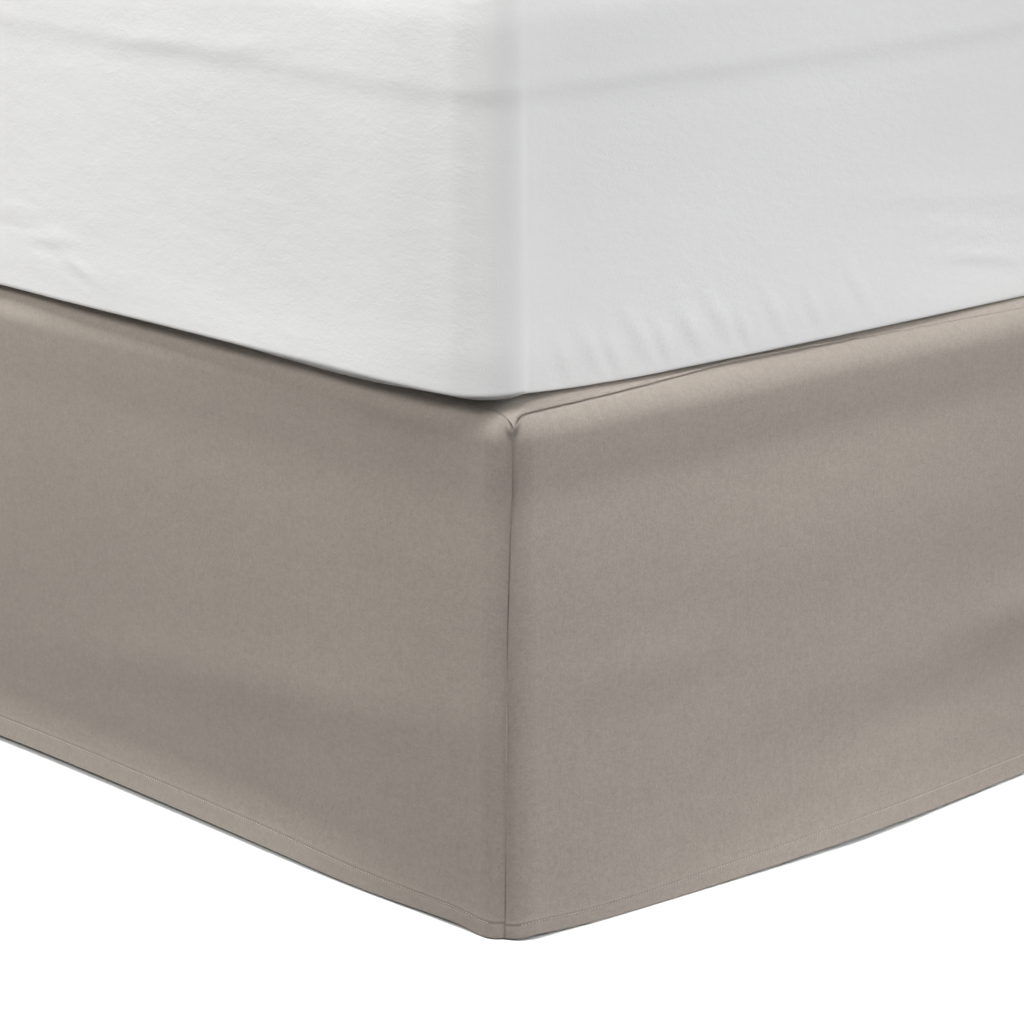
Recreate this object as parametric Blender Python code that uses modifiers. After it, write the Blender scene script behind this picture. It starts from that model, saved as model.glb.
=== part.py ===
"""A tailored bed skirt on the queen bed that it dresses.

The skirt is a deck cloth that lies on the bed base, with three drops sewn round its edge: one at the
foot and one on each long side. The head side has no drop. At each corner the drops end in side hems
that meet in an open slit. The base, its legs and the mattress that holds the deck down are plain.

Metres, +Z up, floor at z = 0. The foot of the bed faces -Y and the origin is under the middle of the
bed. Run it with blender --background --python part.py, or from the text editor.
"""

import math

import bmesh
import bpy
import numpy as np
from mathutils import Vector

# Driving sizes of the skirt, as a maker would state them.
SKIRT_WIDTH = 1.524  # 60 in
SKIRT_LENGTH = 2.032  # 80 in
DROP = 0.3556  # 14 in, from the deck's seam to the bottom of the hem
HEM_DEPTH = 0.015
SIDE_HEM = 0.020
CLOTH = 0.0016
HEM_CLOTH = 0.0032  # the hems are two layers

# How the cloth sits.
EDGE_RADIUS = 0.025  # the cloth rolls over the base's edge and round its corners at this radius
SEAM_REACH = 0.016  # the deck reaches this far over the rolled edge, measured on the cloth
SEAM_GAP = 0.0004  # between the deck's edge and the drops' top edges
HEM_CLEAR = 0.001  # the hem hangs this far above the floor
SLIT = 0.0012  # open width between two drops at a corner
PIECE_GAP = 0.0003  # between pieces that rest on each other

# The bed under and over the cloth.
BASE_INSET = 0.0065  # a base is a little smaller than its nominal size
BASE_HEIGHT = 0.190
BASE_RADIUS = 0.025
LEG_TOP_RADIUS = 0.031
LEG_FOOT_RADIUS = 0.022
LEG_INSET = 0.075  # from the base's sides to each leg's middle
LEGS_PER_SIDE = 3
MATTRESS_WIDTH = 1.500  # a little smaller than its nominal size
MATTRESS_LENGTH = 2.015
MATTRESS_RADIUS = 0.032
MATTRESS_SHIFT = (-0.003, -0.0115)  # it overhangs the foot a little and lies inside the long sides
CENTRE_SHIFT = 0.010  # moves the bed towards the head, so that the origin is at the middle of its length

# Worked out from them.
ROLL = EDGE_RADIUS * math.pi / 2  # cloth that lies on the rolled edge
DECK_TOP = HEM_CLEAR + DROP - (ROLL - SEAM_REACH) + EDGE_RADIUS
CORE_X = SKIRT_WIDTH / 2 - EDGE_RADIUS  # half sizes of the deck's flat part
CORE_Y = SKIRT_LENGTH / 2 - EDGE_RADIUS
BASE_TOP = DECK_TOP - CLOTH - PIECE_GAP
BASE_BOTTOM = BASE_TOP - BASE_HEIGHT
BODY_DEPTH = DECK_TOP - EDGE_RADIUS - HEM_CLEAR  # hanging cloth below the rolled edge

# Steps of the cloth's grid.
CORNER_STEPS = 4  # from a drop's straight stretch to the slit
ROLL_STEPS = 3
COLUMN_PITCH = 0.070
BODY_ROWS = (0.030, 0.065, 0.105, 0.150, 0.195, 0.235, 0.275)  # below the rolled edge

# How far the hem stands out from the straight plane, by the distance along it from the corner. The
# first rows of the foot and the right side follow the bowed hem near the corner where they meet.
HEM_LINES = {
    "foot": (
        # along, out
        (0.000, 0.0058),
        (0.012, 0.0040),
        (0.025, 0.0028),
        (0.060, 0.0030),
        (0.140, 0.0034),
        (0.240, -0.0004),
        (0.350, -0.0036),
        (0.460, -0.0062),
        (0.580, -0.0072),
        (0.760, -0.0024),
        (1.000, 0.0055),
        (1.250, 0.0070),
        (1.400, 0.0045),
        (1.524, 0.0025),
    ),
    "right": (
        # along, out
        (0.000, 0.0058),
        (0.012, 0.0046),
        (0.025, 0.0045),
        (0.060, 0.0078),
        (0.190, 0.0134),
        (0.280, 0.0170),
        (0.315, 0.0183),
        (0.350, 0.0168),
        (0.440, 0.0094),
        (0.520, 0.0030),
        (0.640, 0.0010),
        (0.800, 0.0035),
        (0.980, 0.0085),
        (1.260, 0.0020),
        (1.560, 0.0095),
        (1.840, 0.0050),
        (2.032, 0.0028),
    ),
    "left": (
        # along, out
        (0.000, 0.0028),
        (0.220, 0.0110),
        (0.480, 0.0030),
        (0.800, 0.0095),
        (1.120, 0.0010),
        (1.420, 0.0080),
        (1.760, 0.0030),
        (2.032, 0.0028),
    ),
}

# Broad soft ridges and troughs of the hanging cloth: where the middle is, half its size both ways, how
# far down its far end runs for each metre along, and how far it stands out.
SOFT_FOLDS = {
    "foot": (
        # along, down, half_along, half_down, run_down, out
        (0.20, 0.045, 0.45, 0.030, 0.00, -0.0012),
        (0.16, 0.195, 0.22, 0.070, 0.00, 0.0016),
        (0.26, 0.214, 0.24, 0.024, 0.11, 0.0013),
        (0.95, 0.180, 0.30, 0.060, 0.03, 0.0026),
        (1.25, 0.090, 0.25, 0.045, -0.02, -0.0014),
    ),
    "right": (
        # along, down, half_along, half_down, run_down, out
        (0.25, 0.035, 0.45, 0.026, 0.00, -0.0018),
        (0.30, 0.110, 0.32, 0.040, -0.01, 0.0020),
        (0.12, 0.166, 0.11, 0.022, 0.02, 0.0014),
        (0.42, 0.256, 0.20, 0.032, -0.02, -0.0034),
        (0.50, 0.204, 0.05, 0.020, 0.00, 0.0022),
        (0.95, 0.150, 0.34, 0.060, 0.02, 0.0028),
        (1.45, 0.120, 0.30, 0.050, -0.02, -0.0016),
        (1.70, 0.200, 0.26, 0.060, 0.00, 0.0024),
    ),
    "left": (
        # along, down, half_along, half_down, run_down, out
        (0.30, 0.150, 0.34, 0.055, -0.02, 0.0026),
        (0.85, 0.080, 0.32, 0.045, 0.00, -0.0016),
        (1.20, 0.200, 0.30, 0.060, 0.02, 0.0028),
        (1.70, 0.130, 0.28, 0.055, -0.01, -0.0014),
    ),
}

# The mattress from its bottom up: how high each ring is, and how far it lies outside the nominal side.
# A taped edge parts the border from the pillow top.
MATTRESS_RINGS = (
    # up, out
    (0.0000, -0.0040),
    (0.0004, -0.0003),
    (0.0014, 0.0002),
    (0.0040, 0.0004),
    (0.0090, 0.0005),
    (0.0180, 0.0006),
    (0.0500, 0.0002),
    (0.1100, -0.0004),
    (0.1700, -0.0006),
    (0.1900, -0.0007),
    (0.2000, -0.0003),
    (0.2090, -0.0004),
    (0.2240, -0.0006),
    (0.2480, -0.0014),
    (0.2680, -0.0042),
    (0.2860, -0.0130),
    (0.2980, -0.0350),
    (0.3030, -0.0800),
    (0.3050, -0.1700),
)

# Finishes: colour, roughness and metallic value.
FINISHES = {
    "skirt_cloth": ((0.300, 0.265, 0.228), 0.78, 0.0),
    "mattress_cover": ((0.800, 0.795, 0.780), 0.85, 0.0),
    "base_ticking": ((0.620, 0.600, 0.560), 0.88, 0.0),
    "leg_wood": ((0.090, 0.055, 0.035), 0.45, 0.0),
}


def clear_scene():
    """Removes whatever the scene holds."""
    for found in list(bpy.data.objects):
        bpy.data.objects.remove(found)


def make_collection(name):
    """A new collection in the scene."""
    made = bpy.data.collections.new(name)
    bpy.context.scene.collection.children.link(made)
    return made


def make_material(name):
    """A plain finish from the table."""
    colour, roughness, metallic = FINISHES[name]
    made = bpy.data.materials.new(name)
    made.use_nodes = True
    shader = made.node_tree.nodes["Principled BSDF"]
    shader.inputs["Base Color"].default_value = (*colour, 1)
    shader.inputs["Roughness"].default_value = roughness
    shader.inputs["Metallic"].default_value = metallic
    made.diffuse_color = (*colour, 1)
    return made


def make_object(name, mesh_in_work, material, collection):
    """Turns a bmesh, in world places, into a smooth-shaded object of that name."""
    mesh_in_work.normal_update()
    mesh = bpy.data.meshes.new(name)
    mesh_in_work.to_mesh(mesh)
    mesh_in_work.free()
    mesh.shade_smooth()
    mesh.set_sharp_from_angle(angle=math.radians(40))
    mesh.materials.append(material)
    made = bpy.data.objects.new(name, mesh)
    collection.objects.link(made)
    return made


def blend(share):
    """A smooth step from 0 to 1."""
    share = min(1.0, max(0.0, share))
    return share * share * (3 - 2 * share)


def follow(rows, along):
    """The value at a distance along a table of (distance, value) rows, on a smooth line through them."""
    places, values = np.array(rows).T
    slopes = np.gradient(values, places)
    first = int(np.clip(np.searchsorted(places, along, side="right") - 1, 0, len(places) - 2))
    step = places[first + 1] - places[first]
    share = min(1.0, max(0.0, (along - places[first]) / step))
    rise = blend(share)
    start = share * (1 - share) ** 2 * step * slopes[first]
    end = share * share * (1 - share) * step * slopes[first + 1]
    return float(values[first] * (1 - rise) + values[first + 1] * rise + start - end)


def stand_out(side, along, down):
    """How far the cloth stands out from its straight plane, down from the rolled edge."""
    if down <= 0:
        return 0.0
    share = down / BODY_DEPTH
    out = follow(HEM_LINES[side], along) * share**1.35
    for middle, level, half_along, half_down, run_down, height in SOFT_FOLDS[side]:
        across = (along - middle) / half_along
        fall = (down - level - run_down * (along - middle)) / half_down
        out += height * math.exp(-across * across - fall * fall) * blend(down / 0.04)
    return out


def seam_reach(direction):
    """How far the deck's straight-cut edge lies over the rolled edge, for a direction round a corner."""
    turned = max(abs(direction.x), abs(direction.y))
    return SEAM_REACH / turned


def hang(core, direction, reach, side, along):
    """The place of a point on the cloth that is `reach` along it from the deck's flat part."""
    if reach < ROLL:
        turn = reach / EDGE_RADIUS
        out = EDGE_RADIUS * math.sin(turn)
        level = DECK_TOP - EDGE_RADIUS * (1 - math.cos(turn))
    else:
        down = reach - ROLL
        out = EDGE_RADIUS + stand_out(side, along, down)
        level = DECK_TOP - EDGE_RADIUS - down
    return Vector((core.x + direction.x * out, core.y + direction.y * out + CENTRE_SHIFT, level))


def drop_columns(start, end, outward):
    """The columns of a drop from one slit to the next: place on the deck's flat part, direction, along."""
    run = (end - start).normalized()
    straight = (end - start).length
    columns = []
    for step in range(CORNER_STEPS):
        turn = slit_turn() * (1 - step / CORNER_STEPS)
        direction = outward * math.cos(turn) - run * math.sin(turn)
        columns.append((start, direction, EDGE_RADIUS * (1 - math.sin(turn))))
    steps = math.ceil(straight / COLUMN_PITCH)
    for step in range(steps + 1):
        place = straight * step / steps
        columns.append((start + run * place, outward, EDGE_RADIUS + place))
    for step in range(1, CORNER_STEPS + 1):
        turn = slit_turn() * step / CORNER_STEPS
        direction = outward * math.cos(turn) + run * math.sin(turn)
        columns.append((end, direction, EDGE_RADIUS * (1 + math.sin(turn)) + straight))
    return columns


def side_hem_columns(columns):
    """The numbers of the columns that lie in a side hem, at both ends of a drop."""
    length = columns[-1][2]
    return {
        number
        for number, (_, _, along) in enumerate(columns)
        if min(along, length + EDGE_RADIUS * 0.3 - along) < SIDE_HEM
    }


def drop_rows(direction):
    """Reaches along the cloth of a drop's rows, from its seam to its hem, and which are in the hem."""
    top = seam_reach(direction) + SEAM_GAP
    rows = [top + (ROLL - top) * step / ROLL_STEPS for step in range(ROLL_STEPS + 1)]
    rows += [ROLL + down for down in BODY_ROWS]
    hem_top = ROLL + BODY_DEPTH - HEM_DEPTH
    rows += [hem_top - 0.0005, hem_top + 0.0005, ROLL + BODY_DEPTH]
    return rows


def make_drop(name, side, start, end, outward, material, collection):
    """One hanging drop: its grid is laid from slit to slit and from seam to hem, then thickened."""
    columns = drop_columns(start, end, outward)
    row_count = len(drop_rows(outward))
    work = bmesh.new()
    bmesh.ops.create_grid(work, x_segments=len(columns) - 1, y_segments=row_count - 1, size=1)
    work.verts.ensure_lookup_table()
    for number, (core, direction, along) in enumerate(columns):
        for row, reach in enumerate(drop_rows(direction)):
            vertex = work.verts[row * len(columns) + number]
            vertex.co = hang(core, direction, reach, side, along)
    bmesh.ops.recalc_face_normals(work, faces=work.faces)
    work.normal_update()
    if sum((face.normal.dot(outward) for face in work.faces), 0.0) < 0:
        bmesh.ops.reverse_faces(work, faces=work.faces)
    made = make_object(name, work, material, collection)
    hems = made.vertex_groups.new(name="hems")
    side_hems = side_hem_columns(columns)
    hem_rows = {row_count - 2, row_count - 1}
    for row in range(row_count):
        for number in range(len(columns)):
            if row in hem_rows or number in side_hems:
                hems.add([row * len(columns) + number], 1.0, "REPLACE")
    thicken(made, HEM_CLOTH, CLOTH / HEM_CLOTH)
    return made


def thicken(sheet, thickness, thin_share=None):
    """Gives an open sheet its thickness on the inner side. Outside its hems it is thinner."""
    solid = sheet.modifiers.new("Thickness", "SOLIDIFY")
    solid.thickness = thickness
    solid.offset = -1
    solid.use_even_offset = True
    if thin_share is not None:
        solid.vertex_group = "hems"
        solid.thickness_vertex_group = thin_share


def slit_turn():
    """How far a drop turns round its corner before the slit, in radians."""
    return math.pi / 4 - SLIT / 2 / EDGE_RADIUS


def deck_steps(core, pitch):
    """Steps across the deck: (place on the flat part, share of the reach over the rolled edge).

    Round a corner the deck's edge turns by the same steps as the drops' top edges.
    """
    count = math.ceil(2 * core / pitch)
    flat = [(-core + 2 * core * step / count, 0.0) for step in range(count + 1)]
    shares = [math.tan(slit_turn() * step / CORNER_STEPS) for step in range(1, CORNER_STEPS + 1)]
    shares.append(1.0)
    before = [(-core, -share) for share in reversed(shares)]
    return before + flat + [(core, share) for share in shares]


def make_deck(material, collection):
    """The deck cloth: one straight-cut sheet, its edges rolled over the base's edge all round."""
    across, lengthwise = deck_steps(CORE_X, 0.30), deck_steps(CORE_Y, 0.34)
    work = bmesh.new()
    bmesh.ops.create_grid(work, x_segments=len(across) - 1, y_segments=len(lengthwise) - 1, size=1)
    work.verts.ensure_lookup_table()
    for row, (core_y, share_y) in enumerate(lengthwise):
        for number, (core_x, share_x) in enumerate(across):
            over = Vector((share_x, share_y, 0)) * SEAM_REACH
            direction = over.normalized() if over.length else Vector((0, 0, 0))
            core = Vector((core_x, core_y, 0))
            place = hang(core, direction, over.length, "foot", 0.0)
            work.verts[row * len(across) + number].co = place
    bmesh.ops.recalc_face_normals(work, faces=work.faces)
    work.normal_update()
    if sum((face.normal.z for face in work.faces), 0.0) < 0:
        bmesh.ops.reverse_faces(work, faces=work.faces)
    made = make_object("deck", work, material, collection)
    thicken(made, CLOTH)
    return made


def rounded_ring(work, half_x, half_y, radius, middle, level, steps):
    """A closed ring of points: a rectangle with round corners."""
    points = []
    for quarter in range(4):
        corner = Vector((half_x - radius, half_y - radius))
        if quarter in (1, 2):
            corner.x = -corner.x
        if quarter in (2, 3):
            corner.y = -corner.y
        for step in range(steps + 1):
            turn = math.pi / 2 * (quarter + step / steps)
            x = middle[0] + corner.x + radius * math.cos(turn)
            y = middle[1] + corner.y + radius * math.sin(turn)
            points.append(work.verts.new((x, y, level)))
    return points


def make_rounded_block(name, half_x, half_y, radius, middle, bottom, rings, material, collection):
    """A solid that is lofted through round-cornered rings, each (up, out) from the nominal sides."""
    work = bmesh.new()
    below = None
    for up, out in rings:
        ring_radius = max(radius + out, 0.012)
        ring = rounded_ring(work, half_x + out, half_y + out, ring_radius, middle, bottom + up, 6)
        if below is None:
            work.faces.new(reversed(ring))
        else:
            for number, lower in enumerate(below):
                following = (number + 1) % len(below)
                work.faces.new((lower, below[following], ring[following], ring[number]))
        below = ring
    work.faces.new(below)
    return make_object(name, work, material, collection)


def base_rings():
    """Rings of the base: an eased bottom edge, straight sides and a rounded top edge."""
    eased = 0.004
    rings = [(0.0, -eased), (eased, 0.0)]
    for step in range(5):
        turn = math.pi / 2 * step / 4
        up = BASE_HEIGHT - BASE_RADIUS * (1 - math.sin(turn))
        rings.append((up, -BASE_RADIUS * (1 - math.cos(turn))))
    return rings


def make_leg(name, x, y, material, collection):
    """A turned leg that tapers to a flat foot on the floor."""
    height = BASE_BOTTOM - PIECE_GAP
    work = bmesh.new()
    bmesh.ops.create_cone(
        work,
        cap_ends=True,
        segments=24,
        radius1=LEG_FOOT_RADIUS,
        radius2=LEG_TOP_RADIUS,
        depth=height,
    )
    bmesh.ops.translate(work, verts=work.verts, vec=(x, y, height / 2))
    return make_object(name, work, material, collection)


def make_bed(collection):
    """The base, its legs and the mattress."""
    half_x = SKIRT_WIDTH / 2 - BASE_INSET
    half_y = SKIRT_LENGTH / 2 - BASE_INSET
    middle = (0.0, CENTRE_SHIFT)
    ticking = make_material("base_ticking")
    cover = make_material("mattress_cover")
    wood = make_material("leg_wood")
    make_rounded_block(
        "base", half_x, half_y, BASE_RADIUS + 0.001, middle, BASE_BOTTOM, base_rings(), ticking, collection
    )
    for side, sign in (("left", -1), ("right", 1)):
        for number in range(LEGS_PER_SIDE):
            run = (half_y - LEG_INSET) * 2
            y = middle[1] - run / 2 + run * number / (LEGS_PER_SIDE - 1)
            make_leg(f"leg_{side}_{number + 1}", sign * (half_x - LEG_INSET), y, wood, collection)
    make_rounded_block(
        "mattress",
        MATTRESS_WIDTH / 2,
        MATTRESS_LENGTH / 2,
        MATTRESS_RADIUS,
        (MATTRESS_SHIFT[0], MATTRESS_SHIFT[1] + CENTRE_SHIFT),
        DECK_TOP + PIECE_GAP,
        MATTRESS_RINGS,
        cover,
        collection,
    )


def make_skirt(collection):
    """The deck and its three drops. Each side's drop starts at the foot, the foot's at the right."""
    cloth = make_material("skirt_cloth")
    make_deck(cloth, collection)
    foot_right = Vector((CORE_X, -CORE_Y, 0))
    foot_left = Vector((-CORE_X, -CORE_Y, 0))
    head_right = Vector((CORE_X, CORE_Y, 0))
    head_left = Vector((-CORE_X, CORE_Y, 0))
    make_drop("drop_foot", "foot", foot_right, foot_left, Vector((0, -1, 0)), cloth, collection)
    make_drop("drop_right", "right", foot_right, head_right, Vector((1, 0, 0)), cloth, collection)
    make_drop("drop_left", "left", foot_left, head_left, Vector((-1, 0, 0)), cloth, collection)


def main():
    clear_scene()
    collection = make_collection("bed_skirt")
    make_skirt(collection)
    make_bed(collection)


main()
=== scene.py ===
# %% [markdown]
# # A tailored bed skirt, dressed
#
# A bed skirt hides the base of a bed. A deck cloth lies between the base and the mattress, and three
# drops hang from its edge: one at the foot and one on each long side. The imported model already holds
# plain solids of every piece. Here each one gets its real surface: cloth that is turned back at its
# hems, rows of stitches, soft folds, and materials with a weave. Everything is in metres, floor at
# z = 0, with the foot of the bed towards -Y.

# %% Load the frame
import math

import bmesh
import bpy
import numpy as np
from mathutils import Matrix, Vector


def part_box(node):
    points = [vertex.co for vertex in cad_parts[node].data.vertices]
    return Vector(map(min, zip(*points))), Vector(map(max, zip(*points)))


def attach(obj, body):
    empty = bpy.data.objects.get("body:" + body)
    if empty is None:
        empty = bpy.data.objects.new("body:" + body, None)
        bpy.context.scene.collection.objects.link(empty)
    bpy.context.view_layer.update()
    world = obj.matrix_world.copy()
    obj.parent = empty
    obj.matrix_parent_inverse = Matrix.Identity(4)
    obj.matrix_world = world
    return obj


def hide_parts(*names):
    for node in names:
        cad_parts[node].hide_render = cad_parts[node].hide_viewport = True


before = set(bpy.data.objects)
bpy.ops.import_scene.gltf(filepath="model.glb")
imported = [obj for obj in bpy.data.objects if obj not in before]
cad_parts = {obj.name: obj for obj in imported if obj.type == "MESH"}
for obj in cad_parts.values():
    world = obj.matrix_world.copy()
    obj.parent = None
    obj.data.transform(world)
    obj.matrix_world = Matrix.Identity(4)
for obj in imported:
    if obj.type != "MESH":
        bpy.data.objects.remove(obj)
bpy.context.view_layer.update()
print("nodes in the frame:", sorted(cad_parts))

# %% [markdown]
# ## Sizes
#
# The sizes are the maker's, the same as those of the solids. The cloth goes over the edge of the base
# on a quarter circle. A place on it is given by how far it lies along the cloth from the deck's flat
# part, its reach, so that folds never stretch it.

# %% Sizes of the skirt
SKIRT_WIDTH = 1.524
SKIRT_LENGTH = 2.032
DROP = 0.3556
HEM_DEPTH = 0.015
SIDE_HEM = 0.020
EDGE_RADIUS = 0.025
SEAM_REACH = 0.016
HEM_CLEAR = 0.001
CENTRE_SHIFT = 0.010
PIECE_GAP = 0.0003
CLOTH = 0.0004  # one layer of brushed microfibre
FOLD_RADIUS = 0.00045  # where the cloth turns back in a hem

ROLL = EDGE_RADIUS * math.pi / 2
DECK_TOP = HEM_CLEAR + DROP - (ROLL - SEAM_REACH) + EDGE_RADIUS
CORE_X = SKIRT_WIDTH / 2 - EDGE_RADIUS
CORE_Y = SKIRT_LENGTH / 2 - EDGE_RADIUS
BODY_DEPTH = DECK_TOP - EDGE_RADIUS - HEM_CLEAR
HEM_REACH = ROLL + BODY_DEPTH
print(f"the deck lies {DECK_TOP:.4f} m above the floor and {BODY_DEPTH:.3f} m of cloth hangs straight")

# %% [markdown]
# ## Camera, floor and light
#
# The camera looks down a little at the foot corner on the right side, through a long lens, so the
# sides run away gently. The floor is pale and plain. A large soft light hangs over the foot of the bed.
# The others stand off to its sides, so each side is lit on its own and the corner falls off between.

# %% Camera
def link_object(name, data):
    """A new object at the origin, linked to the scene."""
    made = bpy.data.objects.new(name, data)
    bpy.context.scene.collection.objects.link(made)
    return made


CORNER_INSET = EDGE_RADIUS * (1 - math.sqrt(0.5))  # from the skirt's planes to the slit
CORNER = Vector(
    (SKIRT_WIDTH / 2 - CORNER_INSET, -SKIRT_LENGTH / 2 + CORNER_INSET + CENTRE_SHIFT, HEM_CLEAR)
)
CAMERA_TURN = math.radians(47.3)
CAMERA_DIP = math.radians(14.66)
CAMERA_AWAY = 2.2469
CAMERA_UP = 0.8783
CAMERA_SIDE = 0.0019
CAMERA_LENS = 128.0
SENSOR_WIDTH = 36.0
FAR_CLIP = 50.0


def make_camera():
    """The camera at the photograph's angle to the corner."""
    forward = Vector((-math.sin(CAMERA_TURN), math.cos(CAMERA_TURN), 0))
    right = Vector((math.cos(CAMERA_TURN), math.sin(CAMERA_TURN), 0))
    data = bpy.data.cameras.new("camera")
    data.lens = CAMERA_LENS
    data.sensor_width = SENSOR_WIDTH
    data.clip_end = FAR_CLIP
    camera = link_object("camera", data)
    camera.location = Vector((CORNER.x, CORNER.y, 0)) - forward * CAMERA_AWAY + right * CAMERA_SIDE
    camera.location.z = CAMERA_UP
    camera.rotation_euler = (math.pi / 2 - CAMERA_DIP, 0, CAMERA_TURN)
    bpy.context.scene.camera = camera
    return camera


camera = make_camera()
print("camera at", [round(value, 3) for value in camera.location])


# %% Node helpers
def new_material(name):
    """A material with an empty node tree, its output and its Principled shader."""
    material = bpy.data.materials.new(name)
    material.use_nodes = True
    tree = material.node_tree
    tree.nodes.clear()
    output = tree.nodes.new("ShaderNodeOutputMaterial")
    shader = tree.nodes.new("ShaderNodeBsdfPrincipled")
    tree.links.new(shader.outputs["BSDF"], output.inputs["Surface"])
    return material, tree, shader


def set_inputs(node, values):
    """Sets a node's unlinked inputs by their names."""
    for name, value in values.items():
        node.inputs[name].default_value = value


def add_node(tree, kind, values=None, **settings):
    """A node with its settings and the values of its unlinked inputs."""
    node = tree.nodes.new(kind)
    for name, setting in settings.items():
        setattr(node, name, setting)
    set_inputs(node, values or {})
    return node


def maths(tree, operation, first, second=None, clamp=False):
    """A Math node on sockets or numbers."""
    node = tree.nodes.new("ShaderNodeMath")
    node.operation = operation
    node.use_clamp = clamp
    for socket, value in zip(node.inputs, (first, second)):
        if value is None:
            continue
        if isinstance(value, (int, float)):
            socket.default_value = value
        else:
            tree.links.new(value, socket)
    return node.outputs["Value"]


def mix_colours(tree, share, low, high):
    """A Mix node between two colours or colour sockets."""
    node = tree.nodes.new("ShaderNodeMix")
    node.data_type = "RGBA"
    tree.links.new(share, node.inputs["Factor"])
    for name, value in (("A", low), ("B", high)):
        socket = next(item for item in node.inputs if item.name == name and item.type == "RGBA")
        if isinstance(value, tuple):
            socket.default_value = (*value, 1.0)
        else:
            tree.links.new(value, socket)
    return next(item for item in node.outputs if item.type == "RGBA")


def pattern_place(tree, source, scale, turn=0.0):
    """The UV map or the object's coordinates, turned and then scaled for a pattern."""
    if source == "UV":
        place = add_node(tree, "ShaderNodeUVMap", uv_map="cloth").outputs["UV"]
    else:
        place = add_node(tree, "ShaderNodeTexCoord").outputs["Object"]
    steps = tuple(1 / value for value in scale)
    mapping = add_node(
        tree, "ShaderNodeMapping", {"Scale": steps, "Rotation": (0, 0, turn)}, vector_type="TEXTURE"
    )
    tree.links.new(place, mapping.inputs["Vector"])
    return mapping.outputs["Vector"]


def noise(tree, place, scale, detail=2.0, rough=0.5):
    """A noise pattern's value at a place."""
    values = {"Scale": scale, "Detail": detail, "Roughness": rough}
    node = add_node(tree, "ShaderNodeTexNoise", values)
    tree.links.new(place, node.inputs["Vector"])
    return node.outputs["Fac"]


def bump(tree, height, distance, strength=1.0, under=None):
    """A Bump node, on top of another one's normal where it is given."""
    node = add_node(tree, "ShaderNodeBump", {"Strength": strength, "Distance": distance})
    tree.links.new(height, node.inputs["Height"])
    if under is not None:
        tree.links.new(under, node.inputs["Normal"])
    return node.outputs["Normal"]


# %% Floor and world
FLOOR_SIZE = 14.0
WORLD_STRENGTH = 0.01
FLOOR_COLOUR = (0.90, 0.90, 0.90, 1)


def make_floor():
    """A plain pale floor under the bed."""
    work = bmesh.new()
    bmesh.ops.create_grid(work, x_segments=1, y_segments=1, size=FLOOR_SIZE / 2)
    mesh = bpy.data.meshes.new("floor")
    work.to_mesh(mesh)
    work.free()
    floor = link_object("floor", mesh)
    material, tree, shader = new_material("floor_paint")
    set_inputs(shader, {"Base Color": FLOOR_COLOUR, "Roughness": 0.9})
    mesh.materials.append(material)
    floor.visible_diffuse = False  # it catches shadows, but throws little light up at the bed
    return floor


def make_world(strength):
    """An even pale surround."""
    world = bpy.data.worlds.new("surround")
    world.use_nodes = True
    background = world.node_tree.nodes["Background"]
    set_inputs(background, {"Color": (1, 1, 1, 1), "Strength": strength})
    bpy.context.scene.world = world


make_floor()
make_world(WORLD_STRENGTH)
bpy.context.scene.view_settings.view_transform = "Standard"
print("floor and surround made")

# %% Lights
LIGHTS = (
    # name, place, aimed at, width, height, watts, spread in degrees, colour
    ("over", (0.5, -1.2, 3.6), (0.5, -1.2, 0.0), 2.4, 2.4, 235.0, 180, (1.0, 1.0, 1.0)),
    ("foot_far", (-0.6, -3.6, 2.4), (0.45, -1.0, 0.35), 1.4, 1.0, 81.0, 180, (1.0, 0.99, 0.96)),
    ("foot_low", (-0.7, -3.9, 1.3), (0.45, -1.0, 0.35), 1.4, 1.0, 17.0, 180, (1.0, 0.99, 0.96)),
    ("right_low", (4.4, -0.2, 0.5), (0.75, -0.7, 0.2), 1.8, 0.9, 15.0, 180, (1.0, 1.0, 1.0)),
    ("right_high", (4.4, -0.1, 3.6), (0.75, -0.7, 0.35), 2.0, 1.4, 96.0, 180, (1.0, 1.0, 1.0)),
    ("right_beam", (4.4, -0.2, 1.4), (0.75, -0.7, -0.35), 1.8, 0.9, 6.5, 46, (1.0, 1.0, 1.0)),
    ("head", (-1.2, 3.8, 2.2), (0.0, 0.9, 0.35), 2.2, 1.6, 70.0, 180, (1.0, 1.0, 1.0)),
    ("left", (-4.2, 0.6, 2.2), (-0.7, 0.0, 0.35), 2.2, 1.6, 90.0, 180, (1.0, 1.0, 1.0)),
)


def make_light(name, place, target, width, height, watts, spread, colour):
    """A soft rectangle of light that faces its target."""
    data = bpy.data.lights.new(name, "AREA")
    data.shape = "RECTANGLE"
    data.size = width
    data.size_y = height
    data.energy = watts
    data.color = colour
    data.spread = math.radians(spread)
    light = link_object(name, data)
    light.location = place
    facing = Vector(target) - Vector(place)
    light.rotation_euler = facing.to_track_quat("-Z", "Y").to_euler()
    return light


for row in LIGHTS:
    make_light(*row)
print("lights:", [row[0] for row in LIGHTS])
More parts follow.
